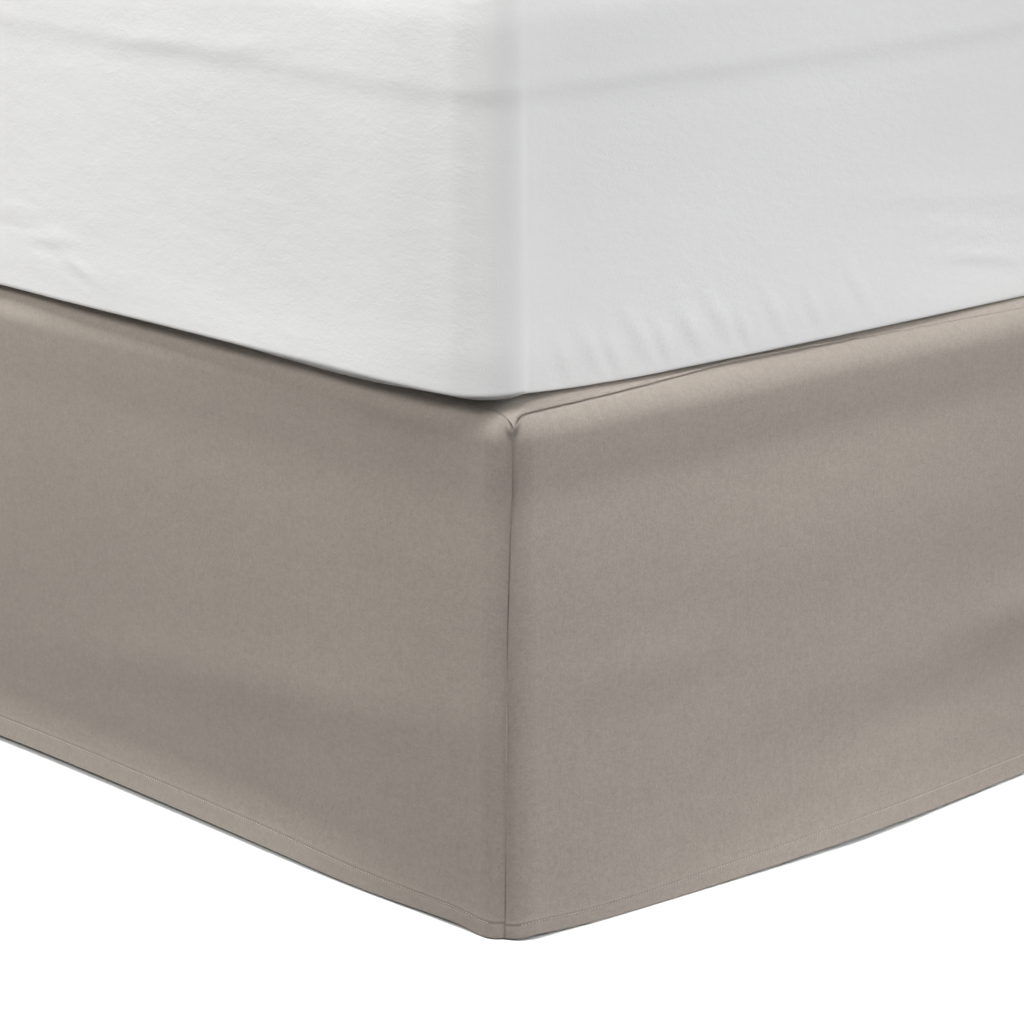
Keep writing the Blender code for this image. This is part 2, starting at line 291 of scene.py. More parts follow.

# %% [markdown]
# ## The skirt's cloth
#
# Brushed microfibre is a very fine plain weave with a short nap. From a step away it shows faint
# upright threads, a soft mottle where the nap lies one way or the other, and a faint sheen at a
# grazing view. The cloth carries a UV map in metres, along and down the piece, so the threads follow
# every fold. The colour variation is small on purpose: a strong pattern would look like tweed. Along
# the slits and at the corners of the deck the colour is darkened as painted shade, standing in for the
# shade that falls into the slits' valleys and under the mattress's corner.

# %% Brushed microfibre
CLOTH_LIGHT = (0.344, 0.300, 0.263)
CLOTH_DARK = (0.262, 0.230, 0.201)
CLOTH_FINISH = {
    "Roughness": 0.78,
    "Sheen Weight": 0.25,
    "Sheen Roughness": 0.45,
    "Sheen Tint": (0.9, 0.86, 0.8, 1),
}
PATTERNS = {
    # name: scale along and down, detail, share of the colour
    "grain": ((640, 640, 1), 1.0, 1.35),
    "threads": ((620, 90, 1), 2.0, 0.55),
    "nap": ((230, 230, 1), 2.0, 1.05),
    "slubs": ((150, 14, 1), 3.0, 0.30),
    "mottle": ((56, 70, 1), 2.0, 0.45),
    "cloud": ((9, 14, 1), 3.0, 0.35),
}
CRINKLE_SLANT = math.radians(58)
PAINTED_SHADE_DEPTH = 0.22  # how much the painted shade darkens the cloth at most


def make_microfibre():
    """The finish of the deck and the drops."""
    material, tree, shader = new_material("skirt_cloth")
    values = {}
    share = 0.5
    for name, (scale, detail, weight) in PATTERNS.items():
        values[name] = noise(tree, pattern_place(tree, "UV", scale), 1.0, detail, 0.55)
        swing = maths(tree, "MULTIPLY", maths(tree, "SUBTRACT", values[name], 0.5), weight)
        share = maths(tree, "ADD", swing, share)
    colour = mix_colours(tree, share, CLOTH_DARK, CLOTH_LIGHT)
    # Painted shade: the colour is darkened towards black along the slits and at the deck's corners, where
    # shade falls.
    painted_shade = add_node(tree, "ShaderNodeAttribute", attribute_name="painted_shade").outputs["Fac"]
    colour = mix_colours(tree, maths(tree, "MULTIPLY", painted_shade, PAINTED_SHADE_DEPTH), colour, (0.0, 0.0, 0.0))
    tree.links.new(colour, shader.inputs["Base Color"])
    weave = bump(tree, maths(tree, "ADD", values["threads"], values["grain"]), 0.00012, 0.6)
    lines = noise(tree, pattern_place(tree, "UV", (46, 330, 1), CRINKLE_SLANT), 1.0, 2.0, 0.5)
    patches = noise(tree, pattern_place(tree, "UV", (7, 10, 1)), 1.0, 2.0, 0.5)
    patches = maths(tree, "MULTIPLY", maths(tree, "SUBTRACT", patches, 0.48), 6.0, clamp=True)
    crinkle = bump(tree, maths(tree, "MULTIPLY", lines, patches), 0.0004, 0.35, weave)
    tree.links.new(bump(tree, values["mottle"], 0.0012, 0.22, crinkle), shader.inputs["Normal"])
    set_inputs(shader, CLOTH_FINISH)
    return material


def make_grained(name, fine, coarse, fine_share, dark, light, relief, finish):
    """A material whose colour comes from two patterns. The fine one also gives it its relief."""
    material, tree, shader = new_material(name)
    (scale, detail, rough), (wide, wide_detail) = fine, coarse
    threads = noise(tree, pattern_place(tree, "Object", scale), 1.0, detail, rough)
    cloud = noise(tree, pattern_place(tree, "Object", wide), 1.0, wide_detail, 0.5)
    part = maths(tree, "MULTIPLY", threads, fine_share)
    share = maths(tree, "ADD", part, maths(tree, "MULTIPLY", cloud, 1 - fine_share))
    tree.links.new(mix_colours(tree, share, dark, light), shader.inputs["Base Color"])
    normal = bump(tree, threads, *relief)
    tree.links.new(normal, shader.inputs["Normal"])
    set_inputs(shader, finish)
    return material, tree, shader, normal


microfibre = make_microfibre()
print("made", microfibre.name)

# %% [markdown]
# ## How the cloth hangs
#
# Each side has a short table of how far its hem stands out along its length, and one of broad soft
# folds. Both are read along smooth lines. The cloth is nearly flat, so a few millimetres make all the
# shading that the eye reads as drape.

# %% Tables of the hanging cloth
HEM_LINES = {
    "foot": (
        # along, out
        (0.000, 0.0058),
        (0.012, 0.0040),
        (0.025, 0.0028),
        (0.060, 0.0030),
        (0.140, 0.0034),
        (0.240, -0.0004),
        (0.350, -0.0036),
        (0.460, -0.0062),
        (0.580, -0.0072),
        (0.760, -0.0024),
        (1.000, 0.0055),
        (1.250, 0.0070),
        (1.400, 0.0045),
        (1.524, 0.0025),
    ),
    "right": (
        # along, out
        (0.000, 0.0058),
        (0.012, 0.0046),
        (0.025, 0.0045),
        (0.060, 0.0078),
        (0.190, 0.0134),
        (0.280, 0.0170),
        (0.315, 0.0183),
        (0.350, 0.0168),
        (0.440, 0.0094),
        (0.520, 0.0030),
        (0.640, 0.0010),
        (0.800, 0.0035),
        (0.980, 0.0085),
        (1.260, 0.0020),
        (1.560, 0.0095),
        (1.840, 0.0050),
        (2.032, 0.0028),
    ),
    "left": (
        # along, out
        (0.000, 0.0028),
        (0.220, 0.0110),
        (0.480, 0.0030),
        (0.800, 0.0095),
        (1.120, 0.0010),
        (1.420, 0.0080),
        (1.760, 0.0030),
        (2.032, 0.0028),
    ),
}
SOFT_FOLDS = {
    "foot": (
        # along, down, half_along, half_down, run_down, out
        (0.20, 0.045, 0.45, 0.030, 0.00, -0.0012),
        (0.16, 0.195, 0.22, 0.070, 0.00, 0.0016),
        (0.26, 0.214, 0.24, 0.024, 0.11, 0.0013),
        (0.95, 0.180, 0.30, 0.060, 0.03, 0.0026),
        (1.25, 0.090, 0.25, 0.045, -0.02, -0.0014),
    ),
    "right": (
        # along, down, half_along, half_down, run_down, out
        (0.25, 0.035, 0.45, 0.026, 0.00, -0.0018),
        (0.30, 0.110, 0.32, 0.040, -0.01, 0.0020),
        (0.12, 0.166, 0.11, 0.022, 0.02, 0.0014),
        (0.42, 0.256, 0.20, 0.032, -0.02, -0.0034),
        (0.50, 0.204, 0.05, 0.020, 0.00, 0.0022),
        (0.95, 0.150, 0.34, 0.060, 0.02, 0.0028),
        (1.45, 0.120, 0.30, 0.050, -0.02, -0.0016),
        (1.70, 0.200, 0.26, 0.060, 0.00, 0.0024),
    ),
    "left": (
        # along, down, half_along, half_down, run_down, out
        (0.30, 0.150, 0.34, 0.055, -0.02, 0.0026),
        (0.85, 0.080, 0.32, 0.045, 0.00, -0.0016),
        (1.20, 0.200, 0.30, 0.060, 0.02, 0.0028),
        (1.70, 0.130, 0.28, 0.055, -0.01, -0.0014),
    ),
}

# %% [markdown]
# Four small tables hold what only shows close up: how far the deck's seam lies over the edge, how
# proud the deck's edge stands over the drop below it, how deep the hem was turned, and where it lifts
# off the floor.

# %% Tables of the seam and the hem
SEAM_LINES = {
    "foot": ((0.000, 0.0160), (0.500, 0.0160), (1.524, 0.0160)),
    "right": (
        # along, reach
        (0.000, 0.0182), (0.040, 0.0176), (0.090, 0.0166), (0.160, 0.0140), (0.215, 0.0112),
        (0.290, 0.0120), (0.420, 0.0150), (2.032, 0.0160),
    ),
    "left": ((0.000, 0.0160), (0.700, 0.0150), (1.300, 0.0165), (2.032, 0.0160)),
    "head": ((0.000, 0.0160), (1.524, 0.0160)),
}
SEAM_PROUD = {
    "foot": ((0.000, 0.0001), (0.400, 0.0001), (1.524, 0.0003)),
    "right": ((0.000, 0.0012), (0.200, 0.0010), (0.350, 0.0004), (2.032, 0.0003)),
    "left": ((0.000, 0.0003), (2.032, 0.0003)),
    "head": ((0.000, 0.0002), (1.524, 0.0002)),
}
HEM_DEPTHS = {
    "foot": (
        # along, depth
        (0.000, 0.0118), (0.060, 0.0124), (0.120, 0.0134), (0.220, 0.0146), (0.450, 0.0154),
        (1.524, 0.0150),
    ),
    "right": (
        # along, depth
        (0.000, 0.0108), (0.090, 0.0108), (0.150, 0.0120), (0.220, 0.0130), (0.320, 0.0138),
        (0.450, 0.0150), (2.032, 0.0150),
    ),
    "left": ((0.000, 0.0142), (0.900, 0.0150), (2.032, 0.0150)),
}
HEM_LIFTS = {
    "foot": (
        # along, up
        (0.000, 0.0001), (0.028, 0.0002), (0.042, 0.0014), (0.070, 0.0014), (0.100, 0.0008),
        (0.250, 0.0024), (0.550, 0.0036), (0.900, 0.0016), (1.200, 0.0002), (1.524, 0.0008),
    ),
    "right": (
        # along, up
        (0.000, 0.0001), (0.010, 0.0004), (0.018, 0.0018), (0.034, 0.0010), (0.260, 0.0014),
        (0.330, 0.0026), (0.400, 0.0014), (0.800, 0.0016), (1.300, 0.0002), (1.700, 0.0016),
        (2.032, 0.0006),
    ),
    "left": ((0.000, 0.0006), (0.400, 0.0016), (0.900, 0.0002), (1.400, 0.0018), (2.032, 0.0006)),
}


# %% Lines and folds
def follow(rows, along):
    """Values at distances along a table of (distance, value) rows, on a smooth line through them."""
    places, values = np.array(rows).T
    slopes = np.gradient(values, places)
    first = np.clip(np.searchsorted(places, along, side="right") - 1, 0, len(places) - 2)
    step = places[first + 1] - places[first]
    share = np.clip((along - places[first]) / step, 0, 1)
    rise = share * share * (3 - 2 * share)
    start = share * (1 - share) ** 2 * step * slopes[first]
    end = share * share * (1 - share) * step * slopes[first + 1]
    return values[first] * (1 - rise) + values[first + 1] * rise + start - end


def blend(share):
    """A smooth step from 0 to 1."""
    share = np.clip(share, 0, 1)
    return share * share * (3 - 2 * share)


def bell(distance, half_width):
    """A soft hump that is 1 at its middle."""
    return np.exp(-((distance / half_width) ** 2))


def stand_out(side, along, down):
    """How far the cloth stands out from its straight plane, down from the rolled edge."""
    share = np.clip(down / BODY_DEPTH, 0, 1)
    out = follow(HEM_LINES[side], along) * share**1.35
    for middle, level, half_along, half_down, run_down, height in SOFT_FOLDS[side]:
        across = bell(along - middle, half_along)
        fall = bell(down - level - run_down * (along - middle), half_down)
        out = out + height * across * fall * blend(down / 0.04)
    return np.where(down > 0, out, 0.0)


def turned_back(distance, edge, radius):
    """Cloth that turns back in a hem: its place along, and its depth behind the face."""
    start = edge - radius
    turn = np.clip((distance - start) / radius, 0, math.pi)
    back = np.maximum(distance - start - math.pi * radius, 0)
    return np.minimum(distance, start) + radius * np.sin(turn) - back, radius * (1 - np.cos(turn))


# %% [markdown]
# ## Panels
#
# A drop starts at one slit, goes a little way round the corner, runs straight along the bed and goes
# round the next corner to its other slit. Its grid is dense where the cloth bends. The rows and columns
# go on past the finished edges: there the cloth turns back on itself, 20 mm at the sides and 15 mm at
# the bottom, as a sewn hem does. The slit leans a few millimetres at its top, where the deck pulls it.

# %% Where the panels are
UNDERLAP = 0.0040  # the foot's side hems reach this far behind those of the sides
CORNER_CLOTH = {
    # cloth from a drop's straight stretch to its slit edge
    "foot": EDGE_RADIUS * math.pi / 4 + UNDERLAP,
    "right": EDGE_RADIUS * math.pi / 4,
    "left": EDGE_RADIUS * math.pi / 4,
}
SLIT_DIP = 0.0042  # the corner of the deck is pulled down at the slit
SLIT_LEAN = 0.0020  # the slit leans this far round the corner at its top, and back below
SLIT_VALLEY = 0.0038  # how far the cloth sinks in at the slit, on both sides of it
VALLEY_REACH = 0.0060  # how far the valley runs out from the slit
TUCK_REACH = 0.0017  # the stretch in which the foot's drop goes behind the side's edge
STITCH_INSET = 0.0020  # from the hem's turned edge to its stitches
FLARE_REACH = 0.036  # the cloth stands out towards its hem over this height
SEAM_ALLOWANCE = 0.0030  # the drop's top edge reaches this far under the deck's edge
SEAM_TUCKS = {
    # how far under the deck's edge the drop starts, where it is out again, where its relief is full
    "foot": (0.00045, 0.006, 0.010),
    "right": (0.0011, 0.0025, 0.008),
    "left": (0.0011, 0.0025, 0.008),
}
HEM_FLARES = {"foot": 0.0050, "right": 0.0033, "left": 0.0033}  # added to the least flare off a slit
LEAST_FLARE = 0.0011
HEM_RIDGE = 0.00016  # the turned edge shows through by this much
STITCH_GROOVE = 0.00020  # the stitches draw the cloth in by this much
GROOVE_WIDTH = 0.0011
HEM_RIPPLE = 0.00009
PANELS = {
    # side: start of its straight stretch, end of it, outward direction
    "foot": ((CORE_X, -CORE_Y), (-CORE_X, -CORE_Y), (0, -1)),
    "right": ((CORE_X, -CORE_Y), (CORE_X, CORE_Y), (1, 0)),
    "left": ((-CORE_X, -CORE_Y), (-CORE_X, CORE_Y), (-1, 0)),
}


def panel_width(side):
    """The finished width of a drop, from slit to slit along the cloth."""
    start, end, _ = PANELS[side]
    return math.dist(start, end) + 2 * CORNER_CLOTH[side]


def column_directions(side, across):
    """For places across a drop: the point of the deck's flat part, the way out, and how far along."""
    start, end, outward = (np.array(value, dtype=float) for value in PANELS[side])
    straight = np.linalg.norm(end - start)
    run = (end - start) / straight
    before = np.clip(CORNER_CLOTH[side] - across, 0, None) / EDGE_RADIUS
    after = np.clip(across - CORNER_CLOTH[side] - straight, 0, None) / EDGE_RADIUS
    turn = after - before
    core = start + np.clip(across - CORNER_CLOTH[side], 0, straight)[..., None] * run
    direction = np.cos(turn)[..., None] * outward + np.sin(turn)[..., None] * run
    along = across - CORNER_CLOTH[side] + EDGE_RADIUS
    return core, direction, np.clip(along, 0, straight + 2 * EDGE_RADIUS), turn


def seam_reach(side, along, turn, from_slit):
    """How far the seam lies over the rolled edge. It runs straight past the corner, and dips there."""
    straight = np.cos(np.minimum(np.abs(turn), math.pi / 4))
    return follow(SEAM_LINES[side], along) / straight + SLIT_DIP * bell(from_slit, 0.006)


def leaning(side, place, down_share):
    """Moves the cloth round the corner near the slits, one way at the top and back lower down."""
    width = panel_width(side)
    lean = SLIT_LEAN * (1 - 2 * blend(down_share * 1.6))
    if side == "foot":
        near, far = blend(1 - (place - UNDERLAP) / 0.03), blend(1 - (width - place - UNDERLAP) / 0.03)
        return place + lean * (far - near)
    return place + lean * blend(1 - place / 0.03)


def slit_relief(side, from_slit):
    """The soft valley at a slit. The foot's side hem goes behind the side's."""
    if side == "foot":
        valley = SLIT_VALLEY * bell(np.maximum(from_slit - UNDERLAP, 0), VALLEY_REACH)
        tuck = blend((UNDERLAP + 0.0004 - from_slit) / TUCK_REACH)
        return -valley - (2 * FOLD_RADIUS + 0.00015) * tuck
    return -SLIT_VALLEY * bell(from_slit, VALLEY_REACH)


def hem_relief(side, along, up, depth):
    """The hem flares, less near the slit. Its turned edge shows as a ridge over the stitches."""
    flare = LEAST_FLARE + HEM_FLARES[side] * blend((along - 0.05) / 0.20)
    relief = flare * np.clip(1 - up / FLARE_REACH, 0, 1) ** 1.6
    relief += HEM_RIDGE * bell(up - depth, 0.0014)
    relief -= STITCH_GROOVE * bell(up - depth + STITCH_INSET, GROOVE_WIDTH)
    ripple = np.sin(along * 410) + 0.7 * np.sin(along * 690 + 1.3) + 0.6 * np.sin(along * 233 + 0.4)
    return relief + HEM_RIPPLE * ripple * bell(up - depth, 0.009)


def drop_points(side, across, down_cloth):
    """Points of a drop's face. Past a finished edge the cloth turns back behind it.

    down_cloth is a share of the drop's depth up to 1 at its hem, and past that metres of turned hem.
    """
    width = panel_width(side)
    mirrored, depth_low = turned_back(width - across, width, FOLD_RADIUS)
    place, depth_high = turned_back(width - mirrored, width, FOLD_RADIUS)
    core, direction, along, turn = column_directions(side, leaning(side, place, down_cloth))
    from_slit = np.minimum(place, width - place)
    hidden = UNDERLAP if side == "foot" else 0.0
    top = seam_reach(side, along, turn, from_slit - hidden)
    up = (HEM_REACH - top) * (1 - np.minimum(down_cloth, 1))
    depth = follow(HEM_DEPTHS[side], along)
    up = up * (1 + (depth / HEM_DEPTH - 1) * blend((0.05 - up) / 0.03))
    reach, depth_hem = turned_back(HEM_REACH - up + np.maximum(down_cloth - 1, 0), HEM_REACH, FOLD_RADIUS)
    behind = depth_low + depth_high + depth_hem
    bend = np.minimum(reach, ROLL) / EDGE_RADIUS
    down = np.maximum(reach - ROLL, 0)
    under, rise, settle = SEAM_TUCKS[side]
    tucked = under * (1 - blend((reach - top) / rise))
    relief = slit_relief(side, from_slit) + hem_relief(side, along, HEM_REACH - reach, depth)
    relief -= HEM_RIDGE * bell(from_slit - SIDE_HEM, GROOVE_WIDTH)
    out = stand_out(side, along, down) + relief * blend((reach - top) / settle) - tucked
    radial = (EDGE_RADIUS - behind) * np.sin(bend) + out
    lift = follow(HEM_LIFTS[side], along) * blend(down / BODY_DEPTH * 1.5 - 0.5)
    level = DECK_TOP - EDGE_RADIUS + (EDGE_RADIUS - behind) * np.cos(bend) - down + lift
    x = core[..., 0] + direction[..., 0] * radial
    y = core[..., 1] + direction[..., 1] * radial + CENTRE_SHIFT
    return np.stack([x, y, level], axis=-1)


# %% Grid steps
def spread(*stretches):
    """Steps through stretches of (start, end, pitch), without repeating the ends."""
    steps = [stretches[0][0]]
    for start, end, pitch in stretches:
        if end <= start:
            continue
        count = max(1, round((end - start) / pitch))
        steps += [start + (end - start) * number / count for number in range(1, count + 1)]
    return np.array(steps)


def across_steps(side, pitch):
    """Places across a drop: turned side hem, round the corner, along, and the same again."""
    width = panel_width(side)
    fold = math.pi * FOLD_RADIUS - FOLD_RADIUS
    edge = CORNER_CLOTH[side] + 0.008
    tuck = (0.0034, 0.0048) if side == "foot" else (0.0034, 0.0034)
    near = (
        (-fold - SIDE_HEM, -fold, 0.0055),
        (-fold, FOLD_RADIUS, FOLD_RADIUS * 0.52),
        (FOLD_RADIUS, tuck[0], 0.0012),
        (*tuck, 0.0002),
        (tuck[1], 0.010, 0.0011),
        (0.010, edge, 0.0020),
    )
    far = ((width - end, width - start, step) for start, end, step in reversed(near))
    return spread(*near, (edge, width - edge, pitch), *far)


def down_steps(pitch):
    """Places down a drop as shares of its depth, and past 1 as metres of turned-back hem."""
    span = HEM_REACH - SEAM_REACH
    fold = math.pi * FOLD_RADIUS - FOLD_RADIUS
    band = 1 - (HEM_DEPTH + 0.004) / span
    return np.concatenate(
        [
            spread(
                (-SEAM_ALLOWANCE / span, 0.0, 0.001 / span),
                (0.0, 0.0012 / span, 0.0003 / span),
                (0.0012 / span, 0.008 / span, 0.001 / span),
                (0.008 / span, 0.030 / span, 0.0022 / span),
            ),
            spread((0.030 / span, band, pitch / span))[1:],
            spread((band, 1 - FOLD_RADIUS / span, 0.00095 / span))[1:],
            spread((1 - FOLD_RADIUS / span, 1 + fold, FOLD_RADIUS * 0.52))[1:],
            spread((1 + fold, 1 + fold + HEM_DEPTH, 0.005))[1:],
        ]
    )


# %% Sheet builder
def make_mesh_object(name, points, faces, material):
    """A smooth-shaded object from points and faces."""
    mesh = bpy.data.meshes.new(name)
    mesh.from_pydata([tuple(point) for point in points], [], faces)
    mesh.materials.append(material)
    return link_object(name, mesh)


def grid_faces(columns, rows):
    """Faces of a grid whose points run along its columns first."""
    return [
        (row * columns + number, row * columns + number + 1, (row + 1) * columns + number + 1,
         (row + 1) * columns + number)
        for row in range(rows - 1)
        for number in range(columns - 1)
    ]


def add_cloth_map(mesh, places):
    """A UV map in metres, from each point's place on the flat cloth."""
    layer = mesh.uv_layers.new(name="cloth")
    for loop in mesh.loops:
        layer.data[loop.index].uv = places[loop.vertex_index]


def add_painted_shade(mesh, values):
    """How strongly the painted shade darkens the cloth at each point."""
    layer = mesh.attributes.new("painted_shade", "FLOAT", "POINT")
    layer.data.foreach_set("value", np.clip(values, 0, 1).ravel())


def apply_modifiers(made):
    """Puts the shape that the modifiers make in place of the object's mesh."""
    bpy.context.view_layer.update()
    shown = made.evaluated_get(bpy.context.evaluated_depsgraph_get())
    finished = bpy.data.meshes.new_from_object(shown)
    made.modifiers.clear()
    made.data = finished
    finished.shade_smooth()
    return finished


def finish_sheet(made, thickness, outward):
    """Turns the faces outwards and gives the sheet its thickness behind them."""
    mesh = made.data
    facing = sum(polygon.normal.dot(Vector(outward)) * polygon.area for polygon in mesh.polygons)
    if facing < 0:
        mesh.flip_normals()
    solid = made.modifiers.new("Thickness", "SOLIDIFY")
    solid.thickness = thickness
    solid.offset = -1
    finished = apply_modifiers(made)
    finished.name = made.name
    finished.set_sharp_from_angle(angle=math.radians(50))
    return made


# %% The three drops
BODY_PITCH = 0.0055
SLIT_SHADE_REACH = 0.0066  # how far from a slit the painted shade reaches
CORNER_SHADE_REACH = (0.030, 0.028)  # how far the painted shade reaches along and down from the top of a slit
DECK_SHADE_REACH = 0.050  # how far the painted shade on the deck reaches from the start of its corner
SLIT_SHADE_SHARE = 0.66  # the painted shade is lighter along a slit than at its top


def make_drop(side, node):
    """One hanging panel as a sheet whose hems are turned back."""
    across, down = across_steps(side, BODY_PITCH * 1.15), down_steps(BODY_PITCH)
    across_grid, down_grid = np.meshgrid(across, down)
    points = drop_points(side, across_grid, down_grid).reshape(-1, 3)
    span = HEM_REACH - SEAM_REACH
    flat_down = np.where(down_grid <= 1, down_grid * span, span + down_grid - 1)
    places = np.stack([across_grid, flat_down], axis=-1).reshape(-1, 2)
    made = make_mesh_object(node + "_cloth", points, grid_faces(len(across), len(down)), microfibre)
    add_cloth_map(made.data, places)
    hidden = UNDERLAP if side == "foot" else 0.0
    from_slit = np.minimum(across_grid, panel_width(side) - across_grid)
    from_slit = np.maximum(from_slit - hidden, 0)
    # Painted shade along the slit's valley, and stronger at the slit's top under the mattress's corner.
    corner = bell(from_slit, CORNER_SHADE_REACH[0]) * bell(flat_down, CORNER_SHADE_REACH[1])
    add_painted_shade(made.data, np.maximum(SLIT_SHADE_SHARE * bell(from_slit, SLIT_SHADE_REACH), corner))
    outward = PANELS[side][2]
    finish_sheet(made, CLOTH, (*outward, 0))
    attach(made, "root")
    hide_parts(node)
    print(f"{made.name}: {len(made.data.polygons)} faces")
    return made


drops = {side: make_drop(side, "drop_" + side) for side in PANELS}

# %% [markdown]
# ## Deck
#
# The deck cloth lies flat under the mattress, so only its edge shows, where it rolls over the base to
# the seam. It is one straight-cut sheet. Its grid has a few long cells in the middle and many small
# ones over the edge, where the seam line wanders a little and the cloth stands proud of the drop.

# %% Deck
DECK_PITCH = 0.012


def deck_shares():
    """Shares of the reach over the rolled edge, close together towards the edge."""
    return np.concatenate([np.linspace(0.12, 0.84, 7), np.linspace(0.88, 1.0, 6)])


def deck_axis(core, pitch):
    """Steps across the deck: places on its flat part, and shares of the reach over the edge."""
    count = round(2 * core / pitch)
    flat = np.linspace(-core, core, count + 1)
    over = deck_shares()
    places = np.concatenate([np.full(len(over), -core), flat, np.full(len(over), core)])
    shares = np.concatenate([-over[::-1], np.zeros(len(flat)), over])
    return places, shares


def deck_points(core_x, core_y, share_x, share_y):
    """Points of the deck's upper face."""
    from_foot = core_y + CORE_Y + EDGE_RADIUS
    from_right = CORE_X - core_x + EDGE_RADIUS
    (reach_x, reach_y), (proud_x, proud_y) = (
        (
            np.where(share_x >= 0, follow(table["right"], from_foot), follow(table["left"], from_foot)),
            np.where(share_y <= 0, follow(table["foot"], from_right), follow(table["head"], from_right)),
        )
        for table in (SEAM_LINES, SEAM_PROUD)
    )
    pulled = 1 + 0.17 * np.abs(share_x * share_y) ** 6
    over_x, over_y = share_x * reach_x * pulled, share_y * reach_y * pulled
    reach = np.hypot(over_x, over_y)
    way_x = np.divide(over_x, reach, out=np.zeros_like(reach), where=reach > 0)
    way_y = np.divide(over_y, reach, out=np.zeros_like(reach), where=reach > 0)
    edge_x, edge_y = np.abs(share_x), np.abs(share_y)
    lip = np.maximum(proud_x * blend((edge_x - 0.70) / 0.22), proud_y * blend((edge_y - 0.70) / 0.22))
    sunk = np.where(share_y > 0, blend((edge_y - 0.95) / 0.05), 0.0)
    lip = lip - 0.0005 * np.maximum(blend((edge_x - 0.95) / 0.05), sunk)
    bend = reach / EDGE_RADIUS
    lean = SLIT_LEAN / EDGE_RADIUS * (share_x * share_y) ** 2 * np.sign(share_x) * (share_y < 0)
    way_x, way_y = way_x - lean * way_y, way_y + lean * way_x
    x = core_x + way_x * (EDGE_RADIUS + lip) * np.sin(bend)
    y = core_y + way_y * (EDGE_RADIUS + lip) * np.sin(bend) + CENTRE_SHIFT
    level = DECK_TOP - EDGE_RADIUS + (EDGE_RADIUS + lip) * np.cos(bend)
    return np.stack([x, y, level], axis=-1)


def make_deck(node):
    """The deck as one sheet."""
    places_x, shares_x = deck_axis(CORE_X, DECK_PITCH)
    places_y, shares_y = deck_axis(CORE_Y, DECK_PITCH)
    core_x, core_y = np.meshgrid(places_x, places_y)
    share_x, share_y = np.meshgrid(shares_x, shares_y)
    points = deck_points(core_x, core_y, share_x, share_y).reshape(-1, 3)
    flat_x, flat_y = core_x + share_x * SEAM_REACH, core_y + share_y * SEAM_REACH
    made = make_mesh_object(
        node + "_cloth", points, grid_faces(len(places_x), len(places_y)), microfibre
    )
    add_cloth_map(made.data, np.stack([flat_x, flat_y], axis=-1).reshape(-1, 2))
    from_corner = np.hypot(CORE_X - np.abs(flat_x), CORE_Y - np.abs(flat_y))
    # Painted shade on the deck's edge near each corner, where the mattress's corner shades it.
    add_painted_shade(made.data, bell(from_corner, DECK_SHADE_REACH))
    finish_sheet(made, CLOTH, (0, 0, 1))
    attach(made, "root")
    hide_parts(node)
    print(f"{made.name}: {len(made.data.polygons)} faces")
    return made


deck = make_deck("deck")

# %% [markdown]
# ## Stitches
#
# The hems are held by rows of thread a little lighter than the cloth. Each stitch is a tiny grain that
# lies along its seam. Geometry Nodes set them out: they walk along the seam line at the stitch pitch
# and put a grain at every step, turned the way the line runs.

# %% Thread and its stitches
STITCH_PITCH = 0.0025
STITCH_LENGTH = 0.0013
THREAD_RADIUS = 0.00042


def make_thread():
    """Polyester thread, a little lighter than the cloth."""
    material, tree, shader = new_material("hem_thread")
    twist = noise(tree, pattern_place(tree, "Object", (1, 1, 1)), 900.0, 2.0, 0.5)
    colour = mix_colours(tree, twist, (0.52, 0.485, 0.435), (0.64, 0.60, 0.55))
    tree.links.new(colour, shader.inputs["Base Color"])
    shader.inputs["Roughness"].default_value = 0.5
    return material


STITCH_NODES = {
    "source": "NodeGroupInput",
    "result": "NodeGroupOutput",
    "curve": "GeometryNodeMeshToCurve",
    "points": "GeometryNodeCurveToPoints",
    "grain": "GeometryNodeMeshUVSphere",
    "size": "ShaderNodeCombineXYZ",
    "half": "ShaderNodeMath",
    "turn": "FunctionNodeAlignRotationToVector",
    "place": "GeometryNodeInstanceOnPoints",
    "real": "GeometryNodeRealizeInstances",
    "finish": "GeometryNodeSetMaterial",
}
STITCH_LINKS = (
    # giver, its output, taker, its input
    ("source", "Geometry", "curve", "Mesh"),
    ("curve", "Curve", "points", "Curve"),
    ("source", "Pitch", "points", "Length"),
    ("source", "Radius", "size", "X"),
    ("source", "Radius", "size", "Y"),
    ("source", "Length", "half", 0),
    ("half", "Value", "size", "Z"),
    ("points", "Tangent", "turn", "Vector"),
    ("points", "Points", "place", "Points"),
    ("grain", "Mesh", "place", "Instance"),
    ("turn", "Rotation", "place", "Rotation"),
    ("size", "Vector", "place", "Scale"),
    ("place", "Instances", "real", "Geometry"),
    ("real", "Geometry", "finish", "Geometry"),
    ("source", "Thread", "finish", "Material"),
    ("finish", "Geometry", "result", "Geometry"),
)


